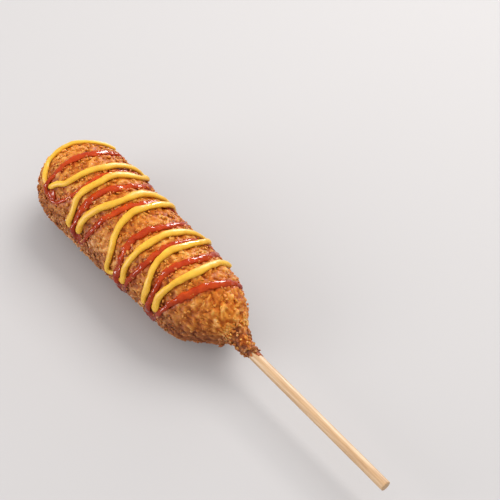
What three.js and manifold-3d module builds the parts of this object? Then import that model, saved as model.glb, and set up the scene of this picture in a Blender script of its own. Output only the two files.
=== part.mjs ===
// A crumbed corn dog on a round wooden stick, lying on its side with a zigzag of
// ketchup and mustard laid across it. Millimetres, +Z up. The body lies along X with its
// blunt end at -X and the stick at +X. The origin is on the flat of the underside, below
// the centre of mass.

import * as THREE from "three";
import { mergeVertices } from "three/addons/utils/BufferGeometryUtils.js";
import Module from "manifold-3d";

const wasm = await Module();
wasm.setup();

// ---- Driving dimensions ----

const bodyLength = 148; // the browned body, from its blunt end to the neck
const bodyRadius = 23.6; // mean radius of the crust
const bodySwell = 0.9; // fatter than the mean towards the blunt end, thinner towards the neck
const tipLength = 26; // the blunt end rounds off over this length
const tipFullness = 2.05; // 2 is an ellipse, more is blunter
const tipSlant = 0.045; // the blunt end slants back on its far side by this share
const slantFadesFrom = 6; // distance from the blunt end
const shoulderLength = 38; // the body narrows to the neck over this length
const shoulderFullness = 2.15;
const shoulderAhead = 1.2; // the shoulder's fall comes this much sooner all round
const shoulderLean = 3.1; // and this much sooner again on its low near side
const shoulderLow = -25; // degrees round the body of that low near side
const leanFrom = 110; // the lean sets in between these distances from the blunt end
const leanTo = 137;
const neckRadius = 3.9;
const collarLength = 16; // the ragged collar of crust round the stick
const collarEndRadius = 3.2;
const raggedEnd = 1; // the collar's end reaches up to this much further here and there
const endSetback = 2.4; // it stops this much short of its length on the whole
const endLopsidedness = 3.2; // and this much more or less on its two sides
const endWaves = 1.3; // in three waves of this height
const thinnestCollar = 3.55; // no crag of it comes closer to the axis than this
const hemHeight = 4.3; // a hem of crust runs on down the collar from the far shoulder
const hemLength = 8;
const hemNarrowness = 1.3;
const hemStart = 146.5; // its distance from the blunt end, where it is highest
const farShoulderEnd = 140; // the collar shows from under the shoulder from here on
const farShoulder = 140; // degrees round the body of the hem, and of the slant at the tip
const nubHeight = 4.4; // a nub of crust stands out where the near shoulder ends
const nubPlace = 144.6;
const nubAngle = -32;
const nubTowardsBody = 4.2; // how far it reaches along the body each way, and its breadth
const nubTowardsStick = 1.5;
const nubBreadth = 0.14;

const restFromTip = 71; // the origin's distance from the blunt end
const axisHeight = 23.1; // height of the body's axis above the origin
const axisDrop = 0.015; // the axis comes down by this much per mm towards the stick

const stickRadius = 2.75;
const stickLength = 200;
const stickInside = 108; // the stretch of the stick that the food holds
const boreClearance = 0.3;
const stickSides = 16;

const crumbCell = 4.1; // spacing of the crust's crags where the drizzle lies
const bareCell = 3.2; // on the bare shoulder
const collarCell = 2.2; // and on the collar
const bareFrom = 126; // where the drizzle stops and the bare shoulder begins
const bigFlakeShare = 0.16; // the share of crags that are big flakes
const bigFlakeHeights = [0.7, 1.3];
const smallCragHeights = [-0.65, 0.55]; // below 0 it is a pit
const crumbSeed = 20417;
const weldDistance = 0.01; // corners closer than this become one

// Drizzle. A pass is one strand across the body, from its turn on the near side (-Y) over
// the top to its turn on the far side (+Y). Its numbers are distances from the blunt end
// where it crosses: near its turn, low on the flank, on the flank, on the top, on the brow
// behind it and on the far shoulder. Its breadth is a share of the sauce's own.
const flankAngle = 56; // degrees round the body from level on the near side
const topAngle = 84;
const browAngle = 108;
const farAngle = 138;
const lowShare = 0.45; // the low crossing's place between the near one and the flank
const sinkReach = 3; // a strand sinks at a near turn over this length
const loneEndShare = 0.45; // the first and last strands run on past the far shoulder by this share

// A near turn joins two passes. Its numbers are the degrees round the body, and the half
// widths, where the first pass crosses near it, at its lowest and where the second crosses.

const mustard = {
  halfWidth: 2,
  halfHeight: 1.35,
  lift: 1.15,
  turnSink: 2, // at the lowest of its near turns, where the ketchup lies over it
  step: 5,
  nearTurns: [
    { angles: [38, 36, 40], halfWidths: [1.7, 1.2, 1.6] },
    { angles: [16, 15, 19], halfWidths: [1.6, 1.1, 1.8] },
    { angles: [5, 8, 13], halfWidths: [1.6, 1.1, 1.8] },
    { angles: [11, 13, 17], halfWidths: [1.5, 1.1, 1.8] },
  ],
  farTurns: [151, 166, 176, 170, 160],
  passes: [
    { near: 17.7, low: 13.6, flank: 10.9, top: 9.6, brow: 10.6, far: 20, breadth: 0.9 },
    { near: 23.8, low: 26.3, flank: 30.2, top: 34.5, brow: 37.8, far: 41.5, breadth: 0.9 },
    { near: 43.3, low: 43, flank: 41.3, top: 43.9, brow: 45.7, far: 50, breadth: 1 },
    { near: 50.4, low: 50.9, flank: 54, top: 60.6, brow: 62.5, far: 66.2, breadth: 1 },
    { near: 76.5, low: 76, flank: 71.9, top: 70.2, brow: 72.3, far: 73.4, breadth: 1 },
    { near: 88.2, low: 87.8, flank: 88.7, top: 90.2, brow: 92, far: 95.2, breadth: 1 },
    { near: 105, low: 104.4, flank: 101.2, top: 100, brow: 102.4, far: 102.3, breadth: 1 },
    { near: 112.4, low: 112.4, flank: 114.4, top: 117.6, brow: 118.4, far: 118, breadth: 1.05 },
  ],
};
const ketchup = {
  halfWidth: 2.15,
  halfHeight: 1.15,
  lift: 0.5,
  turnSink: 0,
  step: 5,
  nearTurns: [
    { angles: [31, 25, 27], halfWidths: [1.4, 0.65, 0.65] },
    { angles: [7, -1, 9], halfWidths: [1.9, 0.8, 0.9] },
    { angles: [-9, -16, -4], halfWidths: [2.1, 1.5, 1.3] },
    { angles: [-9, -16, -3], halfWidths: [2, 1.5, 1.2] },
  ],
  farTurns: [150, 168, 178, 172, 162],
  passes: [
    { near: 22, low: 20.9, flank: 20.7, top: 22.6, brow: 26, far: 29, breadth: 0.85 },
    { near: 31, low: 35, flank: 38.6, top: 40.3, brow: 42.2, far: 45, breadth: 0.4 },
    { near: 47.2, low: 46.8, flank: 47.2, top: 50.4, brow: 55, far: 56.2, breadth: 0.95 },
    { near: 55, low: 57.4, flank: 60.8, top: 65.4, brow: 68.9, far: 72.5, breadth: 0.85 },
    { near: 84.2, low: 83.4, flank: 81.3, top: 83.1, brow: 86.7, far: 86.8, breadth: 0.95 },
    { near: 89.2, low: 92, flank: 96, top: 97, brow: 99, far: 101, breadth: 0.8 },
    { near: 107.4, low: 108.8, flank: 107.8, top: 109.6, brow: 111.8, far: 111.2, breadth: 1 },
    { near: 112.6, low: 117, flank: 122.6, top: 126, brow: 128.8, far: 130.4, breadth: 1.1 },
  ],
};

// ---- Small helpers ----

const radians = (degrees) => (degrees * Math.PI) / 180;
const clamp = THREE.MathUtils.clamp;
const smoothStep = THREE.MathUtils.smoothstep;
const bell = (x, centre, width) => Math.exp(-(((x - centre) / width) ** 2));

/** A repeatable random source: each call gives the next number from 0 to 1. */
function seededRandom(seed) {
  let state = seed;
  return () => {
    state = (state + 0x6d2b79f5) | 0;
    let mixed = Math.imul(state ^ (state >>> 15), 1 | state);
    mixed = (mixed + Math.imul(mixed ^ (mixed >>> 7), 61 | mixed)) ^ mixed;
    return ((mixed ^ (mixed >>> 14)) >>> 0) / 4294967296;
  };
}

// ---- The body's form ----
// A place on it is u, the distance from the blunt end, and angle, in radians round the
// axis from level on the near side (-Y) over the top.

/** Radius of the smooth body of revolution. */
function coreRadius(u) {
  const along = clamp((u - 20) / (bodyLength - 40), 0, 1);
  const barrel = bodyRadius + bodySwell * Math.cos(Math.PI * along);
  if (u < tipLength) {
    return barrel * Math.sqrt(Math.max(0, 1 - (1 - u / tipLength) ** tipFullness));
  }
  const shoulderStart = bodyLength - shoulderLength;
  if (u <= shoulderStart) {
    return barrel;
  }
  if (u <= bodyLength) {
    const fall = 1 - ((u - shoulderStart) / shoulderLength) ** shoulderFullness;
    return neckRadius + (barrel - neckRadius) * fall ** 0.75;
  }
  const alongCollar = Math.min(1, (u - bodyLength) / collarLength);
  return THREE.MathUtils.lerp(neckRadius, collarEndRadius, alongCollar);
}

/** The hand-dipped unevenness: slow swells that fade out at both ends. */
function unevenness(u, angle) {
  const swells =
    0.35 * Math.sin(2 * angle + u / 17 + 0.6) +
    0.3 * Math.sin(3 * angle - u / 11 + 2.1) +
    0.3 * Math.sin(u / 13 + 1) * Math.cos(angle - 0.7);
  return swells * clamp(u / 30, 0, 1) * clamp((bodyLength - u) / 25, 0, 1);
}

/** How far the nub stands out: long towards the body, and short towards the stick. */
function nubReach(u, angle) {
  const length = u < nubPlace ? nubTowardsBody : nubTowardsStick;
  const fromItsMiddle = 1 - Math.cos(angle - radians(nubAngle));
  return nubHeight * bell(u, nubPlace, length) * Math.exp(-fromItsMiddle / nubBreadth);
}

/** Radius of the smooth surface. */
function surfaceRadius(u, angle) {
  const towardsFar = Math.cos(angle - radians(farShoulder));
  const sooner = shoulderAhead + shoulderLean * Math.cos(angle - radians(shoulderLow));
  const slant = tipSlant * (1 + towardsFar) * (1 - smoothStep(u, slantFadesFrom, tipLength));
  const along = u + sooner * smoothStep(u, leanFrom, leanTo);
  const body = coreRadius(along) * (1 - slant) + unevenness(u, angle) + nubReach(u, angle);
  if (u <= farShoulderEnd) {
    return body;
  }
  const hem = hemHeight * (0.5 + 0.5 * towardsFar) ** hemNarrowness;
  const collar = coreRadius(Math.max(along, bodyLength));
  return Math.max(body, collar + hem * bell(Math.max(u, hemStart), hemStart, hemLength));
}

const heightOfAxis = (u) => axisHeight - axisDrop * (u - restFromTip);

/** The point at a given radius from the body's axis. */
function pointAt(u, angle, radius) {
  return new THREE.Vector3(
    u - restFromTip,
    -radius * Math.cos(angle),
    heightOfAxis(u) + radius * Math.sin(angle),
  );
}

/** The outward direction of the smooth surface. */
function normalAt(u, angle) {
  const small = 0.2;
  const at = (du, da) => pointAt(u + du, angle + da, surfaceRadius(u + du, angle + da));
  const along = at(small, 0).sub(at(-small, 0));
  const round = at(0, small / bodyRadius).sub(at(0, -small / bodyRadius));
  return round.cross(along).normalize().negate();
}

// ---- Closed meshes ----

/** A solid for cutting and joining, from points and triangles. */
function solidFrom(points, triangles) {
  const vertProperties = new Float32Array(points.flatMap((p) => [p.x, p.y, p.z]));
  const triVerts = new Uint32Array(triangles.flat());
  return new wasm.Manifold(new wasm.Mesh({ numProp: 3, vertProperties, triVerts }));
}

/** Triangles between two closed rings, each a list of { index, angle } in rising angle. */
function zip(ringA, ringB) {
  const triangles = [];
  const turn = 2 * Math.PI;
  const angleOf = (ring, i) => ring[i % ring.length].angle + turn * Math.floor(i / ring.length);
  const indexOf = (ring, i) => ring[i % ring.length].index;
  let a = 0;
  let b = 0;
  while (a < ringA.length || b < ringB.length) {
    const nextA = (angleOf(ringA, a) + angleOf(ringA, a + 1)) / 2;
    const nextB = (angleOf(ringB, b) + angleOf(ringB, b + 1)) / 2;
    const stepA = b >= ringB.length || (a < ringA.length && nextA <= nextB);
    if (stepA) {
      triangles.push([indexOf(ringA, a), indexOf(ringA, a + 1), indexOf(ringB, b)]);
      a += 1;
    } else {
      triangles.push([indexOf(ringB, b + 1), indexOf(ringB, b), indexOf(ringA, a)]);
      b += 1;
    }
  }
  return triangles;
}

/** Triangles from a ring to one point; outward is true where the ring's order faces out. */
function cap(ring, tipIndex, outward) {
  return ring.map((corner, i) => {
    const next = ring[(i + 1) % ring.length];
    return outward
      ? [corner.index, next.index, tipIndex]
      : [next.index, corner.index, tipIndex];
  });
}

/** A closed tube through rings of points, from its first tip to its last. */
function tubeSolid(firstTip, rings, lastTip) {
  const points = [firstTip];
  const indexed = rings.map((ring) =>
    ring.map((point, i) => {
      points.push(point);
      return { index: points.length - 1, angle: (2 * Math.PI * i) / ring.length };
    }),
  );
  points.push(lastTip);
  const triangles = [];
  triangles.push(...cap(indexed[0], 0, false));
  for (let i = 1; i < indexed.length; i += 1) {
    triangles.push(...zip(indexed[i - 1], indexed[i]));
  }
  triangles.push(...cap(indexed[indexed.length - 1], points.length - 1, true));
  return solidFrom(points, triangles);
}

// ---- Crust ----

/** Spacing of the crags at a distance from the blunt end. */
function cellAt(u) {
  if (u > bodyLength - 4) {
    return collarCell;
  }
  return u > bareFrom ? bareCell : crumbCell;
}

/** Distances from the blunt end at which the crust has a row of crags. */
function crumbRows() {
  const rows = [];
  const fine = 0.02;
  let sinceLast = 0;
  const end = bodyLength + collarLength;
  for (let u = fine; u < end; u += fine) {
    sinceLast += Math.hypot(fine, coreRadius(u) - coreRadius(u - fine));
    if (sinceLast >= 0.866 * cellAt(u)) {
      rows.push(u);
      sinceLast = 0;
    }
  }
  rows.push(end);
  return rows;
}

/** How far one crag stands out of the surface, or how deep a pit is. */
function cragHeight(random) {
  const bigFlake = random() < bigFlakeShare;
  const [low, high] = bigFlake ? bigFlakeHeights : smallCragHeights;
  return low + (high - low) * random();
}

/** How far the collar's end comes and goes round the stick. */
function endShift(u, angle) {
  const lopsided = endLopsidedness * Math.sin(angle - 0.6);
  const shift = lopsided + endWaves * Math.sin(3 * angle + 0.8) - endSetback;
  return shift * smoothStep(u, bodyLength, bodyLength + collarLength);
}

function crustSolid() {
  const random = seededRandom(crumbSeed);
  const points = [pointAt(0, 0, 0)];
  const rows = crumbRows();
  const rings = rows.map((u, row) => {
    const cell = cellAt(u);
    const radius = coreRadius(u);
    const count = Math.max(6, Math.round((2 * Math.PI * radius) / cell));
    const roughness = u > bodyLength ? 0.5 : clamp(radius / 12, 0.4, 1);
    const raggedness = row === rows.length - 1 ? raggedEnd : 0;
    return Array.from({ length: count }, (_, i) => {
      const even = (i + (row % 2) / 2) / count;
      const angle = 2 * Math.PI * (even + (0.36 * (random() - 0.5)) / count);
      const shift = 0.4 * cell * (random() - 0.5) + raggedness * random();
      const place = Math.max(0.05, u + shift + endShift(u, angle));
      const crag = roughness * cragHeight(random);
      const reach = Math.max(thinnestCollar, surfaceRadius(place, angle) + crag);
      const point = pointAt(place, angle, reach);
      point.z = Math.max(0, point.z);
      points.push(point);
      return { index: points.length - 1, angle };
    });
  });
  points.push(pointAt(bodyLength + collarLength - 1, 0, 0));
  const triangles = [];
  triangles.push(...cap(rings[0], 0, true));
  for (let i = 1; i < rings.length; i += 1) {
    triangles.push(...zip(rings[i], rings[i - 1]));
  }
  triangles.push(...cap(rings[rings.length - 1], points.length - 1, false));
  return solidFrom(points, triangles);
}

// ---- Drizzle ----

/** The pass's route over the body as { u, angle, halfWidth }, evenly spaced. */
function routeOf(sauce, index) {
  const pass = sauce.passes[index];
  const side = index % 2;
  const pair = sauce.passes[side === 0 ? index + 1 : index - 1];
  const farPartner = sauce.passes[side === 0 ? index - 1 : index + 1];
  const { angles, halfWidths } = sauce.nearTurns[Math.floor(index / 2)];
  const nearAngle = angles[2 * side];
  const nearHalf = halfWidths[2 * side];
  const fullHalf = sauce.halfWidth * pass.breadth;
  const lowAngle = THREE.MathUtils.lerp(nearAngle, flankAngle, lowShare);
  const farTurn = sauce.farTurns[Math.ceil(index / 2)];
  const farEnd = farPartner
    ? (pass.far + farPartner.far) / 2
    : pass.far + (pass.far - pass.brow) * loneEndShare;
  const stations = [
    [(pass.near + pair.near) / 2, angles[1], halfWidths[1]],
    [pass.near, nearAngle, nearHalf],
    [pass.low, lowAngle, (nearHalf + fullHalf) / 2],
    [pass.flank, flankAngle, fullHalf * 0.9],
    [pass.top, topAngle, fullHalf],
    [pass.brow, browAngle, fullHalf],
    [pass.far, farAngle, fullHalf * 0.85],
    [farEnd, farTurn, fullHalf * 0.7],
  ];
  const corners = stations.map(
    ([u, degrees, half]) => new THREE.Vector3(u, bodyRadius * radians(degrees), half),
  );
  const curve = new THREE.CatmullRomCurve3(corners, false, "centripetal");
  const count = Math.ceil(curve.getLength() / sauce.step);
  return curve.getSpacedPoints(count).map((p) => ({
    u: p.x,
    angle: p.y / bodyRadius,
    halfWidth: p.z,
  }));
}

/** One strand: a low rounded cord that lies on the crumbs. */
function strandSolid(sauce, index) {
  const route = routeOf(sauce, index);
  const centres = route.map(({ u, angle }, i) => {
    const onSurface = pointAt(u, angle, surfaceRadius(u, angle));
    const sunk = sauce.turnSink * bell(i * sauce.step, 0, sinkReach);
    return onSurface.addScaledVector(normalAt(u, angle), sauce.lift - sunk);
  });
  const last = centres.length - 1;
  const sides = 6;
  const rings = centres.map((centre, i) => {
    const ahead = centres[Math.min(last, i + 1)].clone().sub(centres[Math.max(0, i - 1)]);
    const up = normalAt(route[i].u, route[i].angle);
    const across = up.clone().cross(ahead).normalize();
    return Array.from({ length: sides }, (_, k) => {
      const around = (2 * Math.PI * k) / sides;
      return centre
        .clone()
        .addScaledVector(across, route[i].halfWidth * Math.cos(around))
        .addScaledVector(up, sauce.halfHeight * Math.sin(around));
    });
  });
  const beyond = (from, to) => to.clone().add(to.clone().sub(from).setLength(0.9));
  return tubeSolid(
    beyond(centres[1], centres[0]),
    rings,
    beyond(centres[last - 1], centres[last]),
  );
}

// ---- Stick ----

/** The stick's profile turned about its own length, from its inner end at the origin. */
function stickGeometry(radius, length) {
  const rounding = 1.4;
  const profile = [new THREE.Vector2(0, 0), new THREE.Vector2(radius - 0.4, 0)];
  profile.push(new THREE.Vector2(radius, 0.4));
  for (let i = 0; i <= 3; i += 1) {
    const angle = (Math.PI / 2) * (i / 4);
    const inset = radius - rounding + rounding * Math.cos(angle);
    profile.push(new THREE.Vector2(inset, length - rounding + rounding * Math.sin(angle)));
  }
  profile.push(new THREE.Vector2(0, length));
  return new THREE.LatheGeometry(profile, stickSides);
}

/** A straight hole for the stick, blind at its inner end and open at the collar. */
function boreSolid() {
  const start = bodyLength + collarLength - stickInside - boreClearance;
  const end = bodyLength + collarLength + 6;
  const radius = (stickRadius + boreClearance) / Math.cos(Math.PI / stickSides);
  const ring = (u) =>
    Array.from({ length: stickSides }, (_, i) => {
      const angle = (2 * Math.PI * i) / stickSides;
      return pointAt(u, -angle, radius);
    });
  return tubeSolid(pointAt(start, 0, 0), [ring(start), ring(end)], pointAt(end, 0, 0));
}

// ---- The model ----

function geometryOf(solid) {
  const mesh = solid.getMesh();
  const geometry = new THREE.BufferGeometry();
  geometry.setAttribute("position", new THREE.BufferAttribute(mesh.vertProperties, 3));
  geometry.setIndex(new THREE.BufferAttribute(mesh.triVerts, 1));
  geometry.computeVertexNormals();
  return geometry;
}

/** The solid's shells once its close corners are welded, the largest first. */
function weldedShells(solid) {
  const geometry = geometryOf(solid);
  geometry.deleteAttribute("normal");
  const merged = mergeVertices(geometry, weldDistance);
  const corners = merged.index.array;
  const kept = [];
  for (let i = 0; i < corners.length; i += 3) {
    const [a, b, c] = corners.slice(i, i + 3);
    if (a !== b && b !== c && c !== a) {
      kept.push(a, b, c);
    }
  }
  const mesh = new wasm.Mesh({
    numProp: 3,
    vertProperties: merged.attributes.position.array,
    triVerts: new Uint32Array(kept),
  });
  const shells = new wasm.Manifold(mesh).decompose();
  return shells.sort((one, other) => other.volume() - one.volume());
}

/** One welded outer shell: the pits that a strand closed over are filled. */
function welded(solid) {
  let shells = weldedShells(solid);
  while (shells.length > 1) {
    shells = weldedShells(shells[0]);
  }
  return shells[0];
}

function crustMesh() {
  let food = crustSolid().subtract(boreSolid());
  for (const sauce of [ketchup, mustard]) {
    sauce.passes.forEach((_, index) => {
      food = food.add(strandSolid(sauce, index));
    });
  }
  const browned = new THREE.MeshStandardMaterial({ color: 0xc67a32, roughness: 0.75 });
  const mesh = new THREE.Mesh(geometryOf(welded(food)), browned);
  mesh.name = "crust";
  return mesh;
}

function stickMesh() {
  const paleWood = new THREE.MeshStandardMaterial({ color: 0xe2bd8b, roughness: 0.6 });
  const mesh = new THREE.Mesh(stickGeometry(stickRadius, stickLength), paleWood);
  const innerEnd = bodyLength + collarLength - stickInside;
  mesh.position.copy(pointAt(innerEnd, 0, 0));
  mesh.rotation.set(0, Math.atan(axisDrop), -Math.PI / 2);
  mesh.name = "stick";
  return mesh;
}

const cornDog = new THREE.Group();
cornDog.name = "corn_dog";
cornDog.add(crustMesh(), stickMesh());

export default cornDog;
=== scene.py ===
"""The looks of a crumbed corn dog on a stick, with a zigzag of ketchup and mustard.

Lengths are in millimetres until a mesh is handed to Blender, which takes metres. A place on
the body is u, the distance from its blunt end, and angle, in radians round its axis from
level on the near side (-Y) over the top.
"""

import math

import bmesh
import bpy
import numpy as np
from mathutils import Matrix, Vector, kdtree


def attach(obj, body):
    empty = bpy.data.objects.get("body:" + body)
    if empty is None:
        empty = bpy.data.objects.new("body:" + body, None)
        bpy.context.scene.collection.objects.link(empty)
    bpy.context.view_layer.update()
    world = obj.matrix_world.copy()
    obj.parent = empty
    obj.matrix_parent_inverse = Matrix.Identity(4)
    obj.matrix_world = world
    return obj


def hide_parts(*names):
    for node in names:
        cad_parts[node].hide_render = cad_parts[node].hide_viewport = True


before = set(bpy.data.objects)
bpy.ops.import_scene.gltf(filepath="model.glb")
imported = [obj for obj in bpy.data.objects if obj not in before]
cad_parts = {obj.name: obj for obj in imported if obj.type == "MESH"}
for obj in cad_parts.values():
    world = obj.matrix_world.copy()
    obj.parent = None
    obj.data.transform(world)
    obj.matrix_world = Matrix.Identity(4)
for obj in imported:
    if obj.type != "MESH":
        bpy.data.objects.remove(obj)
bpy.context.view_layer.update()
MM = 0.001

# ---- Driving dimensions, named as in the part's source ----

BODY_LENGTH = 148
BODY_RADIUS = 23.6
BODY_SWELL = 0.9
SWELL_MARGIN = 20  # the swell changes only further than this from both ends
TIP_LENGTH = 26
TIP_FULLNESS = 2.05
TIP_SLANT = 0.045
SLANT_FADES_FROM = 6
SHOULDER_LENGTH = 38
SHOULDER_FULLNESS = 2.15
SHOULDER_SOFTNESS = 0.75
SHOULDER_AHEAD = 1.2
SHOULDER_LEAN = 3.1
SHOULDER_LOW = math.radians(-25)
LEAN_FROM = 110
LEAN_TO = 137
NECK_RADIUS = 3.9
COLLAR_LENGTH = 16
END_OF_COLLAR = BODY_LENGTH + COLLAR_LENGTH
COLLAR_END_RADIUS = 3.2
END_SETBACK = 2.4
END_LOPSIDEDNESS = 3.2
END_WAVES = 1.3
END_RIPPLES = 0.9
THINNEST_COLLAR = 3.0  # of the skin under the crumbs
HEM_HEIGHT = 4.3
HEM_LENGTH = 8
HEM_NARROWNESS = 1.3
HEM_START = 146.5
FAR_SHOULDER_END = 140
FAR_SHOULDER = math.radians(140)
NUB_HEIGHT = 4.4
NUB_PLACE = 144.6
NUB_ANGLE = math.radians(-32)
NUB_TOWARDS_BODY = 4.2
NUB_TOWARDS_STICK = 1.5
NUB_BREADTH = 0.14
REST_FROM_TIP = 71
AXIS_HEIGHT = 23.1
AXIS_DROP = 0.015
STICK_RADIUS = 2.75
STICK_LENGTH = 200
STICK_INSIDE = 108

# Where a pass of drizzle crosses, in degrees round the body. The low crossing's place is a share
# of the way from the near one to the flank.
FLANK_ANGLE = 56
TOP_ANGLE = 84
BROW_ANGLE = 108
FAR_ANGLE = 138
LOW_SHARE = 0.45
LONE_END_SHARE = 0.45  # the first and last passes run on past the far shoulder by this share

# A pass thins towards its ends: its breadth there, as a share of its breadth on the top.
FLANK_BREADTH = 0.9
FAR_BREADTH = 0.85
FAR_TURN_BREADTH = 0.7

# A pass's numbers are distances from the blunt end at its crossings: near its turn on the near
# side, low on the flank, on the flank, on the top, on the brow behind it and on the far shoulder.
# The last is its breadth, as a share of the sauce's own. A near turn joins two passes: its numbers
# are the degrees round the body, and the half widths, where the first pass crosses near it, at
# its lowest and where the second crosses.
# Lumps and wander are how much a thread's skin and its edges vary, as shares of its size, and
# drape is the share of the crust's relief that it follows.
MUSTARD = dict(
    half_width=1.92,
    turn_half_widths=[(1.7, 1.2, 1.6), (1.6, 1.1, 1.8), (1.6, 1.1, 1.8), (1.5, 1.1, 1.8)],
    half_height=1.35,
    lift=1.15,
    near_turns=[(38, 36, 40), (16, 15, 19), (5, 8, 13), (11, 13, 17)],
    far_turns=[151, 166, 176, 170, 160],
    passes=[
        (17.7, 13.6, 10.9, 9.6, 10.6, 20, 0.9),
        (23.8, 26.3, 30.2, 34.5, 37.8, 41.5, 0.9),
        (43.3, 43, 41.3, 43.9, 45.7, 50, 1),
        (50.4, 50.9, 54, 60.6, 62.5, 66.2, 1),
        (76.5, 76, 71.9, 70.2, 72.3, 73.4, 1),
        (88.2, 87.8, 88.7, 90.2, 92, 95.2, 1),
        (105, 104.4, 101.2, 100, 102.4, 102.3, 1),
        (112.4, 112.4, 114.4, 117.6, 118.4, 118, 1.05),
    ],
    lumps=0.06,
    wander=0.1,
    drape=0.25,
    seed=83,
)
KETCHUP = dict(
    half_width=2.05,
    turn_half_widths=[(1.4, 0.85, 0.9), (1.9, 0.8, 0.9), (2.1, 1.5, 1.3), (2.0, 1.5, 1.2)],
    half_height=1.1,
    lift=0.15,
    near_turns=[(31, 25, 27), (7, -1, 9), (-9, -16, -4), (-9, -16, -3)],
    far_turns=[150, 168, 178, 172, 162],
    passes=[
        (22, 20.9, 20.7, 22.6, 26, 29, 0.85),
        (31, 35, 38.6, 40.3, 42.2, 45, 0.6),
        (47.2, 46.8, 47.2, 50.4, 55, 56.2, 0.95),
        (55, 57.4, 60.8, 65.4, 68.9, 72.5, 0.85),
        (84.2, 83.4, 81.3, 83.1, 86.7, 86.8, 0.95),
        (89.2, 92, 96, 97, 99, 101, 0.8),
        (107.4, 108.8, 107.8, 109.6, 111.8, 111.2, 1),
        (112.6, 117, 122.6, 126, 128.8, 130.4, 1),
    ],
    lumps=0.2,
    wander=0.22,
    drape=0.8,
    seed=71,
)
# Films and drips of ketchup: distance from the blunt end, degrees round, half lengths along and
# round the body, and height.
KETCHUP_POOLS = [
    (26.0, 29, 3.0, 3.8, 0.55),
    (50, 7, 3.2, 4.6, 0.7),
    (85.5, -17, 2.8, 3.8, 1.3),
    (87.0, -4, 3.4, 4.2, 0.9),
    (107, -17, 2.6, 3.8, 1.3),
    (109.0, -6, 3.8, 4.4, 0.9),
]

# The mustard sinks this far under the ketchup at its near turns. Elsewhere the upper sauce rises
# to cross the lower one, over about this distance.
TURN_SINK = 2.0
MUSTARD_RISE = 0.9
KETCHUP_RISE = 2.0
RISE_REACH = 2.4
NEAR_TURN_PLACES = [20, 47, 82, 109]  # distances of the mustard's near turns from the blunt end

# In degrees round the body: where the crust is palest and where the ketchup is brightest. Away
# from these lines both grow darker, partly in their own colour and partly as painted shade.
PALEST_LINE = 105
BRIGHTEST_KETCHUP = 86

# Where the mustard is wettest: distance from the blunt end and degrees round.
WET_SPOTS = [(72.6, 112), (102.4, 108), (102.3, 119)]
WET_SPOT_REACH = 5.5

# Stretches of the body, as distances from its blunt end, over which a feature sets in, or sets
# in and ends again.
CRACKED = (108, 122), (138, 144)
LONG_FLAKES = (112, 126), (140, 146)
FEWER_CRUMBS = (112, 124), (142, 148)
SMALLER_CRUMBS = (112, 124), (140, 146)
ROUGHER_LUMPS = 112, 128
HIGHER_GROUND = 112, 126
SOFTER_FLAKES = 108, 124
SMALLER_FLAKES = 143, 150
DARKER_CRUST = 142, 152
MIXED_TONES = 144, 150
CALMER_LUMPS = 147, 160

# The crust's flakes, in the order that they are laid in: their spacing, and the ranges of their
# length, width and rise.
FLAKES = [
    (2.2, (1.5, 2.8), (1.2, 2.2), (-0.55, 0.0)),
    (3.2, (2.8, 4.6), (2.0, 3.4), (-0.3, 0.2)),
    (7.0, (3.8, 6.2), (2.6, 4.0), (-0.1, 0.35)),
]
CORNERS = 9  # of a flake's outline and a crumb's

# The kinds of loose crumb. Sizes are the ranges of length, width and thickness, the seat is the
# range of its middle's height above the crust, facets are the flat faces broken off it, and the
# tilt is the most that it leans, in radians.
COARSE = dict(
    subdivisions=3, facets=3, tilt=0.35, seat=(-0.25, 0.15),
    sizes=[(2.4, 4.4), (1.8, 3.0), (0.9, 1.4)],
)
MEDIUM = dict(
    subdivisions=3, facets=2, tilt=0.5, seat=(-0.1, 0.3),
    sizes=[(1.6, 2.8), (1.3, 2.1), (0.8, 1.2)],
)
FINE = dict(
    subdivisions=2, facets=1, tilt=0.8, seat=(0.1, 0.5),
    sizes=[(0.9, 1.6), (0.8, 1.3), (0.5, 0.9)],
)
WET = dict(
    subdivisions=2, facets=3, tilt=0.6, seat=(0.25, 0.7),
    sizes=[(1.2, 2.7), (0.9, 1.7), (0.8, 1.2)],
)
# Their pieces: name, kind, spacing, and distance from the blunt end where they start.
CRUMBS = [
    ("crumbs_coarse", COARSE, 6.6, 0),
    ("crumbs_medium", MEDIUM, 5.4, 0),
    ("crumbs_on_neck", MEDIUM, 2.6, 144),
    ("crumbs_fine", FINE, 3.5, 0),
]
WET_SPACING = 1.3
SHARE_IN_KETCHUP = 0.3  # of the places along the ketchup, those that hold a crumb


# ---- Small helpers ----


def bell(x, centre, width):
    return np.exp(-(((x - centre) / width) ** 2))


def smooth_step(x, low, high):
    t = np.clip((x - low) / (high - low), 0, 1)
    return t * t * (3 - 2 * t)


def plateau(u, rise, fall, height=1):
    """height on a stretch of the body and 0 off it. rise and fall are where its ends slope."""
    return height * smooth_step(u, *rise) * (1 - smooth_step(u, *fall))


def unit(vectors):
    return vectors / np.maximum(np.linalg.norm(vectors, axis=-1, keepdims=True), 1e-9)


def lattice_random(cell, seed):
    """A repeatable number from 0 to 1 for each whole-number cell, an (n, 3) array."""
    c = cell.astype(np.int64)
    mixed = c[..., 0] * 73856093 ^ c[..., 1] * 19349663 ^ c[..., 2] * 83492791 ^ seed * 2654435761
    mixed = (mixed ^ (mixed >> 13)) * 1274126177 & 0xFFFFFFFF
    mixed = (mixed ^ (mixed >> 16)) * 2246822519 & 0xFFFFFFFF
    return ((mixed ^ (mixed >> 15)) & 0xFFFFFF) / 0xFFFFFF


def value_noise(points, size, seed):
    """Smooth noise from -1 to 1 whose lumps are about size across."""
    p = points / size
    cell = np.floor(p)
    t = p - cell
    t = t * t * (3 - 2 * t)
    total = np.zeros(len(points))
    for corner in np.ndindex(2, 2, 2):
        share = np.prod(np.where(corner, t, 1 - t), axis=-1)
        total += share * lattice_random(cell + corner, seed)
    return 2 * total - 1


# ---- The body's form ----


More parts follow.
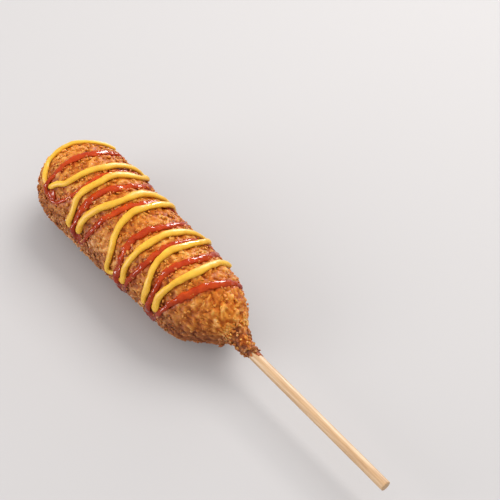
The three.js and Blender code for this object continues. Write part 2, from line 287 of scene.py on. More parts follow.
def core_radius(u):
    """Radius of the smooth body of revolution."""
    u = np.asarray(u, float)
    along = np.clip((u - SWELL_MARGIN) / (BODY_LENGTH - 2 * SWELL_MARGIN), 0, 1)
    barrel = BODY_RADIUS + BODY_SWELL * np.cos(math.pi * along)
    into_tip = np.clip(1 - u / TIP_LENGTH, 0, 1)
    tip = barrel * np.sqrt(1 - into_tip**TIP_FULLNESS)
    into_shoulder = np.clip((u - BODY_LENGTH + SHOULDER_LENGTH) / SHOULDER_LENGTH, 0, 1)
    fall = (1 - into_shoulder**SHOULDER_FULLNESS) ** SHOULDER_SOFTNESS
    shoulder = NECK_RADIUS + (barrel - NECK_RADIUS) * fall
    along_collar = np.clip((u - BODY_LENGTH) / COLLAR_LENGTH, 0, 1)
    collar = NECK_RADIUS + (COLLAR_END_RADIUS - NECK_RADIUS) * along_collar
    places = [u < TIP_LENGTH, u <= BODY_LENGTH - SHOULDER_LENGTH, u <= BODY_LENGTH]
    return np.select(places, [tip, barrel, shoulder], collar)


def unevenness(u, angle):
    """The slow swells of a hand-dipped body, which fade out at both ends."""
    swells = (
        0.35 * np.sin(2 * angle + u / 17 + 0.6)
        + 0.3 * np.sin(3 * angle - u / 11 + 2.1)
        + 0.3 * np.sin(u / 13 + 1) * np.cos(angle - 0.7)
    )
    fade = np.clip(u / 30, 0, 1) * np.clip((BODY_LENGTH - u) / 25, 0, 1)
    return swells * fade


def surface_radius(u, angle):
    """The smooth surface.

    The tip slants back on its far side. The shoulder ends sooner on its low near side, in a nub
    that stands out from the collar, than on its far side, where a hem of crust runs on down the
    collar.
    """
    u = np.asarray(u, float)
    lean = SHOULDER_AHEAD + SHOULDER_LEAN * np.cos(angle - SHOULDER_LOW)
    slant = TIP_SLANT * (1 + np.cos(angle - FAR_SHOULDER))
    slant = slant * (1 - smooth_step(u, SLANT_FADES_FROM, TIP_LENGTH))
    along = u + lean * smooth_step(u, LEAN_FROM, LEAN_TO)
    body = core_radius(along) * (1 - slant) + unevenness(u, angle)
    nub_reach = np.where(u < NUB_PLACE, NUB_TOWARDS_BODY, NUB_TOWARDS_STICK)
    nub = NUB_HEIGHT * bell(u, NUB_PLACE, nub_reach)
    nub *= np.exp((np.cos(angle - NUB_ANGLE) - 1) / NUB_BREADTH)
    far_side = (0.5 + 0.5 * np.cos(angle - FAR_SHOULDER)) ** HEM_NARROWNESS
    hem = HEM_HEIGHT * far_side * bell(np.maximum(u, HEM_START), HEM_START, HEM_LENGTH)
    collar = core_radius(np.maximum(along, BODY_LENGTH))
    hemmed = np.where(u > FAR_SHOULDER_END, collar + hem, 0)
    return np.maximum(body + nub, hemmed)


def crevices(u, angle):
    """1 along the cracks that run slantwise over the bare shoulder, and 0 between them."""
    round_by = ((angle + math.pi / 2) % (2 * math.pi)) * 18
    grain = np.column_stack([(u - round_by) / 1.8, (u + round_by) / 1.1, u * 0])
    crack = 1 - smooth_step(np.abs(value_noise(grain, size=2.6, seed=13)), 0, 0.22)
    return plateau(u, *CRACKED, height=crack)


def crust_radius(u, angle):
    """The smooth surface with the crust's larger lumps, and the cracks of its shoulder."""
    u, angle = np.broadcast_arrays(np.asarray(u, float), angle)
    girth = np.maximum(core_radius(u), 2)
    places = np.column_stack([u, np.cos(angle) * girth, np.sin(angle) * girth])
    lumps = value_noise(places, size=7, seed=3)
    knobs = value_noise(places, size=3.4, seed=7)
    rough = smooth_step(u, *ROUGHER_LUMPS)
    relief = 0.3 * lumps + (0.22 + 0.2 * rough) * knobs + rough * 0.3 - crevices(u, angle)
    relief *= np.clip(u / 12, 0, 1) * (1 - 0.45 * smooth_step(u, *CALMER_LUMPS))
    return np.maximum(surface_radius(u, angle) + relief, least_radius(u))


def least_radius(u):
    """The least the crust can be, to hide the stick within the collar."""
    return np.where(u > FAR_SHOULDER_END, THINNEST_COLLAR, 0)


def ragged_end(angle):
    """How far the collar's end comes and goes round the stick."""
    lopsided = END_LOPSIDEDNESS * np.sin(angle - 0.6) - END_SETBACK
    waves = END_WAVES * np.sin(3 * angle + 0.8)
    return lopsided + waves + END_RIPPLES * np.sin(7 * angle + 2)


def point_at(u, angle, radius):
    """Points at a given radius from the body's axis, an (n, 3) array."""
    u, angle, radius = np.broadcast_arrays(u, angle, radius)
    axis_z = AXIS_HEIGHT - AXIS_DROP * (u - REST_FROM_TIP)
    z = axis_z + radius * np.sin(angle)
    return np.stack([u - REST_FROM_TIP, -radius * np.cos(angle), z], axis=-1)


def angle_of(points):
    """Each point's angle round the body's axis."""
    axis_z = AXIS_HEIGHT - AXIS_DROP * points[:, 0]
    return np.arctan2(points[:, 2] - axis_z, -points[:, 1])


def degrees_from(points, line):
    """Degrees round the body from a line along it, itself given in degrees."""
    return np.abs((np.degrees(angle_of(points)) - line + 180) % 360 - 180)


def normal_at(u, angle):
    """The outward direction of the smooth surface."""
    small = 0.2

    def at(du, da):
        return point_at(u + du, angle + da, surface_radius(u + du, angle + da))

    along = at(small, 0) - at(-small, 0)
    turn = small / BODY_RADIUS
    around = at(0, turn) - at(0, -turn)
    return unit(np.cross(along, around))


def surface_axes(normal, turn):
    """Two directions across the surface at each point, turned by an angle from the body's axis."""
    ahead = unit(np.cross(np.cross(normal, [1.0, 0, 0]), normal) + 1e-6)
    beside = np.cross(normal, ahead)
    first = ahead * np.cos(turn)[:, None] + beside * np.sin(turn)[:, None]
    return first, np.cross(normal, first)


# The body's profile from its tip, and the distance run along it.
FINE_TIP = 20
fine_steps = np.linspace(0, 1, 200) ** 2 * FINE_TIP
profile_u = np.append(fine_steps, np.linspace(FINE_TIP, END_OF_COLLAR, 900)[1:])
profile_radius = core_radius(profile_u)
profile_run = np.append(0, np.cumsum(np.hypot(np.diff(profile_u), np.diff(profile_radius))))


def u_at_run(run):
    """The u that lies a given run along the profile from the tip."""
    return np.interp(run, profile_run, profile_u)


def scatter(spacing, jitter, rng, from_u=0):
    """Jittered places over the body, about spacing apart whatever its girth there."""
    first, last = np.interp([from_u, END_OF_COLLAR], profile_u, profile_run)
    places = []
    for run in np.arange(first + spacing * 0.3, last, spacing * 0.87):
        girth = 2 * math.pi * np.interp(run, profile_run, profile_radius)
        count = max(1, round(girth / spacing))
        angle = (np.arange(count) + rng.random()) * 2 * math.pi / count
        angle += rng.uniform(-jitter, jitter, count) * 2 * math.pi / count
        along = run + rng.uniform(-jitter, jitter, count) * spacing
        places.append(np.column_stack([u_at_run(np.clip(along, 0, profile_run[-1])), angle]))
    return np.vstack(places)


# ---- Meshes ----


def mesh_object(name, points, triangles, attributes=None):
    """A new object from points in millimetres, triangles, and a number per point by name."""
    mesh = bpy.data.meshes.new(name)
    mesh.from_pydata((np.asarray(points, np.float32) * MM).tolist(), [], triangles.tolist())
    for key, values in (attributes or {}).items():
        add_attribute(mesh, key, values)
    return new_object(name, mesh)


def new_object(name, data):
    made = bpy.data.objects.new(name, data)
    bpy.context.scene.collection.objects.link(made)
    return made


def add_attribute(mesh, key, values):
    """Gives each point of the mesh a number that its material can read."""
    layer = mesh.attributes.new(key, "FLOAT", "POINT")
    layer.data.foreach_set("value", np.asarray(values, np.float32))


def mark(made, key, values_at):
    """Gives each point of a piece a number worked out from its place in millimetres."""
    points = np.empty(len(made.data.vertices) * 3, np.float32)
    made.data.vertices.foreach_get("co", points)
    add_attribute(made.data, key, values_at(points.reshape(-1, 3) / MM))


def put_on(made, material, slot, *replaced):
    """Smooths and dresses a piece, fixes it to the part and hides the solids that it replaces."""
    made.data.polygons.foreach_set("use_smooth", np.ones(len(made.data.polygons), bool))
    made.data.materials.append(material)
    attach(made, "root")
    if replaced:
        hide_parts(*replaced)


def skin(index):
    """The triangles over a grid of point numbers whose columns close into a ring."""
    turned = np.roll(index, -1, axis=1)
    quads = np.stack([index[:-1], turned[:-1], turned[1:], index[1:]], axis=-1).reshape(-1, 4)
    return np.vstack([quads[:, [0, 1, 2]], quads[:, [0, 2, 3]]])


def capped_skin(index, first_middle, last_middle):
    """The same with both ends closed, each by a fan round its middle point."""
    sides = index.shape[1]
    turned = np.roll(index, -1, axis=1)
    first_cap = np.column_stack([np.full(sides, first_middle), turned[0], index[0]])
    last_cap = np.column_stack([np.full(sides, last_middle), index[-1], turned[-1]])
    return np.vstack([skin(index), first_cap, last_cap])


def ball(subdivisions):
    """The points and triangles of a round of triangles."""
    bm = bmesh.new()
    bmesh.ops.create_icosphere(bm, subdivisions=subdivisions, radius=1)
    points = np.array([v.co[:] for v in bm.verts])
    triangles = np.array([[v.index for v in f.verts] for f in bm.faces])
    bm.free()
    return points, triangles


def jagged_outline(direction, corner_radii):
    """The radius of an outline at each direction, straight between its evenly spaced corners."""
    turn = (direction / (2 * math.pi)) % 1 * len(corner_radii)
    corner = turn.astype(int) % len(corner_radii)
    following = (corner + 1) % len(corner_radii)
    part = turn - np.floor(turn)
    if corner_radii.ndim == 2:
        part = part[:, None]
    return corner_radii[corner] * (1 - part) + corner_radii[following] * part


# ---- Drizzle routes ----


def thread_stations(sauce):
    """The whole thread's stations as (u, degrees, half width), from its first far end on."""
    passes = sauce["passes"]
    stations = []
    for index, (near, low, flank, top, brow, far, breadth) in enumerate(passes):
        side = 2 * (index % 2)
        near_turn = sauce["near_turns"][index // 2]
        turn_widths = sauce["turn_half_widths"][index // 2]
        full_width = sauce["half_width"] * breadth
        low_angle = near_turn[side] + LOW_SHARE * (FLANK_ANGLE - near_turn[side])
        across = [
            (near, near_turn[side], turn_widths[side]),
            (low, low_angle, (turn_widths[side] + full_width) / 2),
            (flank, FLANK_ANGLE, full_width * FLANK_BREADTH),
            (top, TOP_ANGLE, full_width),
            (brow, BROW_ANGLE, full_width),
            (far, FAR_ANGLE, full_width * FAR_BREADTH),
        ]
        lone_end = far + (far - brow) * LONE_END_SHARE
        if index % 2:
            stations.extend(across)
            continue
        far_u = (far + passes[index - 1][5]) / 2 if index else lone_end
        far_turn = sauce["far_turns"][index // 2]
        stations.append((far_u, far_turn, full_width * FAR_TURN_BREADTH))
        stations.extend(reversed(across))
        stations.append(((near + passes[index + 1][0]) / 2, near_turn[1], turn_widths[1]))
    stations.append((lone_end, sauce["far_turns"][-1], full_width * FAR_TURN_BREADTH))
    return stations


def centripetal(points, per_span):
    """A centripetal Catmull-Rom curve through the points."""
    padded = np.vstack([2 * points[0] - points[1], points, 2 * points[-1] - points[-2]])
    pieces = []
    t = np.linspace(0, 1, per_span, endpoint=False)[:, None]
    for p0, p1, p2, p3 in zip(padded, padded[1:], padded[2:], padded[3:]):
        d0, d1, d2 = (np.sqrt(np.linalg.norm(b - a)) for a, b in ((p0, p1), (p1, p2), (p2, p3)))
        m1 = d1 * ((p1 - p0) / d0 - (p2 - p0) / (d0 + d1) + (p2 - p1) / d1)
        m2 = d1 * ((p2 - p1) / d1 - (p3 - p1) / (d1 + d2) + (p3 - p2) / d2)
        a = 2 * p1 - 2 * p2 + m1 + m2
        b = -3 * p1 + 3 * p2 - 2 * m1 - m2
        pieces.append(a * t**3 + b * t**2 + m1 * t + p1)
    pieces.append(points[-1:])
    return np.vstack(pieces)


def thread_route(sauce, step):
    """The thread as evenly spaced u, angle and half width."""
    stations = np.array(thread_stations(sauce), float)
    flat = np.column_stack([stations[:, 0], BODY_RADIUS * np.radians(stations[:, 1])])
    per_span = 60
    dense = centripetal(flat, per_span)
    travelled = np.append(0, np.cumsum(np.linalg.norm(np.diff(dense, axis=0), axis=1)))
    wanted = np.linspace(0, travelled[-1], int(travelled[-1] / step))
    u = np.interp(wanted, travelled, dense[:, 0])
    angle = np.interp(wanted, travelled, dense[:, 1]) / BODY_RADIUS
    half_width = np.interp(wanted, travelled[::per_span], stations[:, 2])
    return u, angle, half_width


def thread_line(sauce):
    """Points along the thread, on the smooth surface."""
    u, angle, _ = thread_route(sauce, step=0.7)
    return point_at(u, angle, surface_radius(u, angle))


def nearest_distance(points, line):
    """Each point's distance to the nearest point of a line of points."""
    tree = kdtree.KDTree(len(line))
    for i, p in enumerate(line):
        tree.insert(Vector(p), i)
    tree.balance()
    return np.array([tree.find(Vector(p))[2] for p in points])


ketchup_line = thread_line(KETCHUP)
mustard_line = thread_line(MUSTARD)


# ---- Crust ----


def lay_flakes(kind, height, tone, surface, run, column_step, rng):
    """Lays jagged flakes of a kind on the height field. Each shows where it is the highest.

    Flakes on the bare shoulder are longer and narrower, and lie slantwise.
    """
    spacing, length, width, rise = kind
    rows, columns = height.shape
    row_step = run[1] - run[0]
    places = scatter(spacing, 0.6, rng)
    u, angle = places[:, 0], places[:, 1]
    count = len(u)
    centre = point_at(u, angle, crust_radius(u, angle))
    bare = plateau(u, *LONG_FLAKES)
    turn = rng.uniform(-1, 1, count) * math.pi / 2 * (1 - 0.7 * bare) - bare * math.pi / 4
    ahead, beside = surface_axes(normal_at(u, angle), turn)
    growth = 1 - 0.45 * smooth_step(u, *SMALLER_FLAKES)
    half_length = rng.uniform(*length, count) * growth * (1 + 0.1 * bare) / 2
    half_width = rng.uniform(*width, count) * growth * (1 - 0.3 * bare) / 2
    base = rng.uniform(*rise, count) * growth
    slopes = rng.normal(0, 0.13, (count, 2)) * growth[:, None]
    crown = rng.uniform(0.35, 0.8, count) * growth
    own_tone = rng.beta(3.2, 3.4, count)
    corners = rng.uniform(0.68, 1.12, (count, CORNERS))
    middle_row = np.interp(u, u_at_run(run), np.arange(rows))
    girth_radius = np.maximum(core_radius(u), 0.5)
    reach = half_length * 1.2
    for k in range(count):
        i = int(middle_row[k])
        j = int(angle[k] / column_step)
        row_reach = int(reach[k] / row_step) + 1
        column_reach = min(int(reach[k] / (girth_radius[k] * column_step)) + 1, columns // 2)
        near_rows = np.arange(max(i - row_reach, 0), min(i + row_reach + 1, rows))[:, None]
        near_columns = np.arange(j - column_reach, j + column_reach + 1)[None, :] % columns
        away = surface[near_rows, near_columns] - centre[k]
        x = away @ ahead[k] / half_length[k]
        y = away @ beside[k] / half_width[k]
        edge = np.hypot(x, y) / jagged_outline(np.arctan2(y, x), corners[k])
        top = base[k] + slopes[k, 0] * x + slopes[k, 1] * y + crown[k] * (1 - edge**2)
        won = (edge < 1) & (top > height[near_rows, near_columns])
        place = tuple(part[won] for part in np.broadcast_arrays(near_rows, near_columns))
        height[place] = top[won]
        tone[place] = own_tone[k]


def softened(grid):
    """The grid with each value eased towards its neighbours."""
    around = (np.roll(grid, 1, axis=1) + 2 * grid + np.roll(grid, -1, axis=1)) / 4
    padded = np.pad(around, ((1, 1), (0, 0)), mode="edge")
    return (padded[:-2] + 2 * around + padded[2:]) / 4


def flaky_relief(u_grid, smooth, run, column_step, rng):
    """The height and the tone of the flakes, and of the ground between them, over the grid."""
    ground = -0.45 + 0.2 * value_noise(smooth, size=2.4, seed=5)
    ground = ground + 0.2 * smooth_step(u_grid.ravel(), *HIGHER_GROUND)
    height = ground.reshape(u_grid.shape)
    tone = 0.3 + 0.2 * value_noise(smooth, size=2.0, seed=9).reshape(u_grid.shape)
    surface = smooth.reshape(*u_grid.shape, 3)
    for kind in FLAKES:
        lay_flakes(kind, height, tone, surface, run, column_step, rng)
    once = softened(height)
    twice = 1.3 * softened(once)
    height = once + (twice - once) * (0.3 + 0.7 * smooth_step(u_grid, *SOFTER_FLAKES))
    return height, softened(softened(tone))


def build_crust_body(rng):
    """The crust's own skin, and its relief: the run of each row, and the lift over the grid."""
    step = 0.52
    columns = 272
    rows = int(profile_run[-1] / step)
    run = np.linspace(0.3, profile_run[-1], rows)
    angle = np.linspace(0, 2 * math.pi, columns, endpoint=False)
    u_grid = np.repeat(u_at_run(run)[:, None], columns, axis=1)
    near_end = smooth_step(u_grid, BODY_LENGTH, END_OF_COLLAR)
    u_grid = u_grid + ragged_end(angle)[None, :] * near_end
    u_flat = u_grid.ravel()
    a_flat = np.tile(angle, rows)
    radius = crust_radius(u_flat, a_flat)
    smooth = point_at(u_flat, a_flat, radius)
    height, tone = flaky_relief(u_grid, smooth, run, angle[1], rng)
    lift = height.ravel() - 0.35 + 0.09 * value_noise(smooth, size=0.9, seed=5)
    lift *= 1 - 0.6 * near_end.ravel()
    room = radius - least_radius(u_flat)
    lift = np.where(u_flat > FAR_SHOULDER_END, np.maximum(lift, -room), lift)
    outside = smooth + normal_at(u_flat, a_flat) * lift[:, None]
    tip = point_at(0, 0, 0)
    rim_inside_stick = point_at(u_grid[-1] - 0.6, angle, STICK_RADIUS * 0.7)
    end_middle = point_at(END_OF_COLLAR - 2, 0, 0)
    points = np.vstack([outside, tip, rim_inside_stick, end_middle])
    points[:, 2] = np.maximum(points[:, 2], 0)
    tip_index = rows * columns
    index = np.arange(tip_index).reshape(rows, columns)
    index = np.vstack([index, np.arange(columns) + tip_index + 1])
    triangles = capped_skin(index, tip_index, len(points) - 1)
    mottling = smooth_step(u_flat, *MIXED_TONES) * value_noise(smooth, size=1.6, seed=43)
    # The cracks are painted darker in the tone: painted shade.
    tone_and_crack_shade = tone.ravel() + 0.5 * mottling - 0.22 * crevices(u_flat, a_flat)
    hidden = len(points) - len(lift)
    attributes = {
        "lift": np.append(lift, np.zeros(hidden)),
        "tone": np.append(np.clip(tone_and_crack_shade, 0, 1), np.full(hidden, 0.4)),
        "char_and_shade": browning_and_painted_shade(points),
        "stain": staining(points),
    }
    made = mesh_object("crust_body", points, triangles[:, ::-1], attributes)
    relief = lift.reshape(rows, columns)
    for _ in range(4):
        relief = softened(relief)
    return made, (run, relief)


def browning_and_painted_shade(points):
    """0 to 1 where the crust is darkest: the charred collar, and fried darker plus painted shade
    below.
    """
    u = points[:, 0] + REST_FROM_TIP
    ragged = u + 4 * value_noise(points, size=4, seed=31)
    # Darker away from the palest line, towards the underside: partly fried darker, partly painted
    # shade.
    away = degrees_from(points, PALEST_LINE) + 12 * value_noise(points, size=7, seed=37)
    low = 0.3 * smooth_step(away, 5, 60) + 0.7 * smooth_step(away, 60, 115)
    patches = 0.1 + 0.9 * smooth_step(value_noise(points, size=2.6, seed=33), -0.25, 0.25)
    return np.clip(np.maximum(smooth_step(ragged, *DARKER_CRUST) * patches, low), 0, 1)


def staining(points):
    """0 to 1 next to the ketchup, which colours and wets the crumbs."""
    distance = nearest_distance(points, ketchup_line)
    return 1 - smooth_step(distance + 0.7 * value_noise(points, size=2.2, seed=41), 1.6, 3.4)


# ---- Crumbs ----


def crumb_shapes(kind, count, rng):
    """Chipped, jagged rounds of unit size, one for each crumb, and the triangles of one."""
    ball_points, triangles = ball(kind["subdivisions"])
    shape = np.repeat(ball_points[None], count, axis=0)
    direction = np.arctan2(ball_points[:, 1], ball_points[:, 0])
    corners = rng.uniform(0.65, 1.1, (CORNERS, count))
    shape[..., :2] *= jagged_outline(direction, corners).T[..., None]
    shape[..., 2] = np.clip(shape[..., 2] * 1.4, -1, 1)
    shape *= 1 + rng.uniform(-0.14, 0.14, (count, len(ball_points), 1))
    for _ in range(kind["facets"]):
        plane = unit(rng.normal(size=(count, 1, 3)))
        reach = rng.uniform(0.3, 0.8, (count, 1))
        beyond = np.maximum((shape * plane).sum(axis=-1) - reach, 0)
        shape -= plane * beyond[..., None]
    return shape, triangles


def crumb_axes(normal, tilt, rng):
    """Each crumb's long, wide and thick directions, as it lies tilted and rolled on the crust."""
    count = len(normal)
    turn = rng.uniform(0, 2 * math.pi, count)
    lean = rng.normal(0, 0.5, count).clip(-1, 1) * tilt
    flat, _ = surface_axes(normal, turn)
    long_axis = flat * np.cos(lean)[:, None] + normal * np.sin(lean)[:, None]
    wide_axis = unit(np.cross(normal, flat))
    thick_axis = np.cross(long_axis, wide_axis)
    roll = rng.normal(0, 0.4, count)[:, None]
    wide_axis = wide_axis * np.cos(roll) + thick_axis * np.sin(roll)
    return np.stack([long_axis, wide_axis, np.cross(long_axis, wide_axis)], axis=1)


def crumb_cloud(name, kind, places, rng, in_ketchup=False):
    """One mesh of many crumbs of a kind, at places on the crust.

    Crumbs in_ketchup may stand up through the ketchup's edges. They are a little paler than the
    rest, and less stained.
    """
    u, angle = places[:, 0], places[:, 1]
    foot = point_at(u, angle, crust_radius(u, angle))
    normal = normal_at(u, angle)
    near_end = smooth_step(u, BODY_LENGTH, END_OF_COLLAR)
    on_crust = u < END_OF_COLLAR + ragged_end(angle) * near_end - 1
    kept = rng.random(len(u)) > plateau(u, *FEWER_CRUMBS, height=0.45)
    clear = (foot[:, 2] > 0.9) & on_crust & kept & ~under_sauce(foot, rng, in_ketchup)
    foot, normal, u = foot[clear], normal[clear], u[clear]
    count = len(foot)
    shape, ball_triangles = crumb_shapes(kind, count, rng)
    sides = np.column_stack([rng.uniform(*size, count) for size in kind["sizes"]])
    growth = 1 - plateau(u, *SMALLER_CRUMBS, height=0.25)
    sides *= growth[:, None] / 2
    shape *= sides[:, None, :]
    bend = rng.uniform(-0.16, 0.16, (count, 2)) / sides[:, :1]
    shape[..., 2] += bend[:, :1] * shape[..., 0] ** 2
    shape[..., 1] += bend[:, 1:] * shape[..., 0] ** 2
    axes = crumb_axes(normal, kind["tilt"], rng)
    centre = foot + normal * (rng.uniform(*kind["seat"], count) * growth)[:, None]
    world = centre[:, None, :] + shape @ axes
    lift = ((world - foot[:, None, :]) * normal[:, None, :]).sum(axis=-1)
    points = world.reshape(-1, 3)
    points[:, 2] = np.maximum(points[:, 2], 0)
    per_crumb = shape.shape[1]
    triangles = ball_triangles[None] + (np.arange(count) * per_crumb)[:, None, None]
    tone_spread = 0.45 + 0.4 * smooth_step(u, *MIXED_TONES)
    usual_tone = 0.5 if in_ketchup else 0.43
    own_tone = usual_tone + tone_spread * (rng.beta(2.2, 2.2, count) - 0.5)
    own_stain = staining(foot) * (0.75 if in_ketchup else 1)
    attributes = {
        "lift": lift.ravel(),
        "tone": np.repeat(own_tone, per_crumb),
        "char_and_shade": np.repeat(browning_and_painted_shade(foot), per_crumb),
        "stain": np.repeat(own_stain, per_crumb),
    }
    return mesh_object(name, points, triangles.reshape(-1, 3), attributes)


def under_sauce(points, rng, in_ketchup):
    """Whether a crumb would lie under a thread of sauce."""
    margin = rng.uniform(0.35, 1.0, len(points))
    covered = nearest_distance(points, mustard_line) < 1.75 * margin + 0.8
    if not in_ketchup:
        covered |= nearest_distance(points, ketchup_line) < 1.8 * margin
    return covered


def along_ketchup(spacing, rng):
    """Places here and there along both edges of the ketchup."""
    u, angle, half_width = thread_route(KETCHUP, spacing)
    ahead = unit(np.column_stack([np.gradient(u), np.gradient(angle) * BODY_RADIUS]))
    places = []
    for side in (-1, 1):
        away = side * half_width * rng.uniform(0.45, 1.25, len(u))
        round_by = ahead[:, 0] * away / BODY_RADIUS
        places.append(np.column_stack([u - ahead[:, 1] * away, angle + round_by]))
    places = np.vstack(places)
    return places[rng.random(len(places)) < SHARE_IN_KETCHUP]


# ---- Sauces ----


def blob(u, degrees, half_along, half_round, height):
    """A low lump of sauce on the surface."""
    points, triangles = ball(4)
    along = u + points[:, 0] * half_along
    angle = math.radians(degrees) + points[:, 1] * half_round / BODY_RADIUS
    reach = crust_radius(along, angle) + points[:, 2] * height + 0.1
    return point_at(along, angle, reach), triangles


def draped(points, share, relief):
    """The points moved in or out by a share of the crust's relief below them."""
    row_run, lift = relief
    run = np.interp(points[:, 0] + REST_FROM_TIP, profile_u, profile_run)
    row = np.interp(run, row_run, np.arange(len(row_run))).round().astype(int)
    columns = lift.shape[1]
    angle = angle_of(points)
    column = (angle / (2 * math.pi) * columns).round().astype(int) % columns
    move = share * (lift[row, column] - lift.mean())
    outward = np.stack([0 * angle, -np.cos(angle), np.sin(angle)], axis=-1)
    return points + outward * move[:, None]


def sauce_mesh(name, sauce, climb, relief, pools=()):
    """A drizzled thread as one fine mesh. climb(u, angle, foot) is its extra height."""
    step = 0.5
    sides = 20
    seed = sauce["seed"]
    u, angle, half_width = thread_route(sauce, step)
    travel = np.arange(len(u)) * step
    along = travel[:, None] * [1, 0, 0]
    half_width = half_width * (1 + 0.12 * value_noise(along, 6, seed))
    half_height = sauce["half_height"] * (1 + 0.1 * value_noise(along, 7, seed + 2))
    half_height *= np.clip(half_width / sauce["half_width"], 0.45, 1.05) ** 0.7
    u = u + 0.3 * value_noise(along, 7, seed + 3)
    angle = angle + 0.35 * value_noise(along, 8, seed + 4) / BODY_RADIUS
    normal = normal_at(u, angle)
    foot = point_at(u, angle, surface_radius(u, angle))
    window = np.hanning(17) / np.hanning(17).sum()
    lift = np.pad(sauce["lift"] + climb(u, angle, foot), len(window) // 2, mode="edge")
    centre = foot + normal * np.convolve(lift, window, "valid")[:, None]
    ahead = unit(np.gradient(centre, axis=0))
    across = unit(np.cross(normal, ahead))
    up = np.cross(ahead, across)
    from_end = np.minimum(travel, travel[-1] - travel)
    taper = np.sqrt(1 - (1 - np.clip(from_end / 1.5, 0.02, 1)) ** 2)
    turn = np.linspace(0, 2 * math.pi, sides, endpoint=False)
    near_edge = 1 + sauce["wander"] * value_noise(along, 3.0, seed + 7)
    far_edge = 1 + sauce["wander"] * value_noise(along, 3.0, seed + 8)
    wander = np.where(np.cos(turn)[None, :] > 0, near_edge[:, None], far_edge[:, None])
    wide = np.cos(turn)[None, :] * wander * (half_width * taper)[:, None]
    high = np.sin(turn)[None, :] * (half_height * taper)[:, None]
    spoke = across[:, None, :] * wide[..., None] + up[:, None, :] * high[..., None]
    flat = (centre[:, None, :] + spoke).reshape(-1, 3)
    lumps = value_noise(flat, 2.3, seed + 5) + 0.7 * value_noise(flat, 1.2, seed + 6)
    swell = (1 + sauce["lumps"] * lumps).reshape(len(u), sides, 1)
    points = (centre[:, None, :] + spoke * swell).reshape(-1, 3)
    index = np.arange(len(u) * sides).reshape(len(u), sides)
    triangles = [skin(index)]
    for cap in (index[0], index[-1][::-1]):
        triangles.append(np.column_stack([np.full(sides - 2, cap[0]), cap[2:], cap[1:-1]]))
    for pool in pools:
        pool_points, pool_triangles = blob(*pool)
        triangles.append(pool_triangles + len(points))
        points = np.vstack([points, pool_points])
    return mesh_object(name, draped(points, sauce["drape"], relief), np.vstack(triangles))


def above_turn(u, degrees):
    """0 at the near turns of the mustard to 1 well above them."""
    turn = np.interp(u, NEAR_TURN_PLACES, [turn[2] for turn in MUSTARD["near_turns"]])
    return smooth_step(degrees, turn + 4, turn + 20)


def turn_depth(u, degrees):
    """How far the mustard sinks at the bottom of its near turns, where the ketchup covers it."""
    near = [crossing[0] for crossing in MUSTARD["passes"]]
    depth = np.zeros(len(u))
    for first, second, turn in zip(near[::2], near[1::2], MUSTARD["near_turns"]):
        inside = 1 - np.abs(u - (first + second) / 2) / ((second - first) / 2)
        low = 1 - smooth_step(degrees, turn[1] + 8, turn[1] + 18)
        depth += TURN_SINK * smooth_step(inside, 0.1, 0.6) * low
    return depth


def over_ketchup(u, angle, foot):
    """How far the mustard rises to cross the ketchup; at the near turns it stays below."""
    rise = MUSTARD_RISE * bell(nearest_distance(foot, ketchup_line), 0, RISE_REACH)
    degrees = np.degrees(angle)
    return rise * above_turn(u, degrees) - turn_depth(u, degrees)


def over_mustard(u, angle, foot):
    """How far the ketchup rises to cross the mustard at the near turns."""
    rise = KETCHUP_RISE * bell(nearest_distance(foot, mustard_line), 0, RISE_REACH)
    return rise * (1 - above_turn(u, np.degrees(angle)))


def remesh(made, voxel):
    """Makes a piece's mesh again from voxels, so that its parts fuse, and smooths it."""
    remeshing = made.modifiers.new("remesh", "REMESH")
    remeshing.mode = "VOXEL"
    remeshing.voxel_size = voxel * MM
    smoothing = made.modifiers.new("smooth", "SMOOTH")
    smoothing.factor = 0.5
    smoothing.iterations = 4
    graph = bpy.context.evaluated_depsgraph_get()
    mesh = bpy.data.meshes.new_from_object(made.evaluated_get(graph))
    made.modifiers.clear()
    made.data = mesh


def ketchup_depth_and_shade(points):
    """How thick and dark the ketchup lies, 0 on the crest to 1 low on the sides, partly painted
    shade.
    """
    away = degrees_from(points, BRIGHTEST_KETCHUP) + 8 * value_noise(points, size=7, seed=91)
    return np.clip((away - 12) / 85, 0, 1)


def mustard_wetness(points):
    """1 at the few spots where the mustard has a wet gloss, and 0 elsewhere."""
    wet = np.zeros(len(points))
    for u, degrees in WET_SPOTS:
        angle = math.radians(degrees)
        spot = point_at(u, angle, surface_radius(u, angle) + MUSTARD["lift"])
        wet = np.maximum(wet, bell(np.linalg.norm(points - spot, axis=1), 0, WET_SPOT_REACH))
    return wet


# ---- Stick ----


def build_stick():
    """The round skewer, with grooves of grain along it and a softly bevelled free end."""
    sides = 48
    bevel = 0.5
    start = END_OF_COLLAR - STICK_INSIDE
    end = start + STICK_LENGTH
    inner_u = np.arange(start, end - bevel, 0.8)
    u_rows = np.append(inner_u, end - bevel * np.array([1, 0.4, 0.1, 0]))
    shrink = np.append(0 * inner_u, [0, 0.1, 0.28, 0.5])
    angle = np.linspace(0, 2 * math.pi, sides, endpoint=False)
    u_grid, a_grid = np.meshgrid(u_rows, angle, indexing="ij")
    u_flat, a_flat = u_grid.ravel(), a_grid.ravel()
    across = np.cos(a_flat) * STICK_RADIUS, np.sin(a_flat) * STICK_RADIUS
    grain = np.column_stack([u_flat / 14, *across])
    groove = 0.035 * value_noise(grain, size=0.42, seed=61)
    groove = groove + 0.03 * value_noise(grain, size=1.1, seed=67)
    radius = STICK_RADIUS - 0.03 - shrink[:, None] + groove.reshape(u_grid.shape)
    outside = point_at(u_flat, a_flat, radius.ravel())
    points = np.vstack([outside, point_at(start, 0, 0), point_at(end, 0, 0)])
    count = len(outside)
    triangles = capped_skin(np.arange(count).reshape(u_grid.shape), count, count + 1)
    return mesh_object("stick_wood", points, triangles[:, ::-1])


# ---- Materials ----


def srgb(*display_values):
    """A colour given in 0 to 255 display values, as Blender's linear one."""
    shares = [value / 255 for value in display_values]
    linear = [v / 12.92 if v <= 0.04045 else ((v + 0.055) / 1.055) ** 2.4 for v in shares]
    return (*linear, 1)


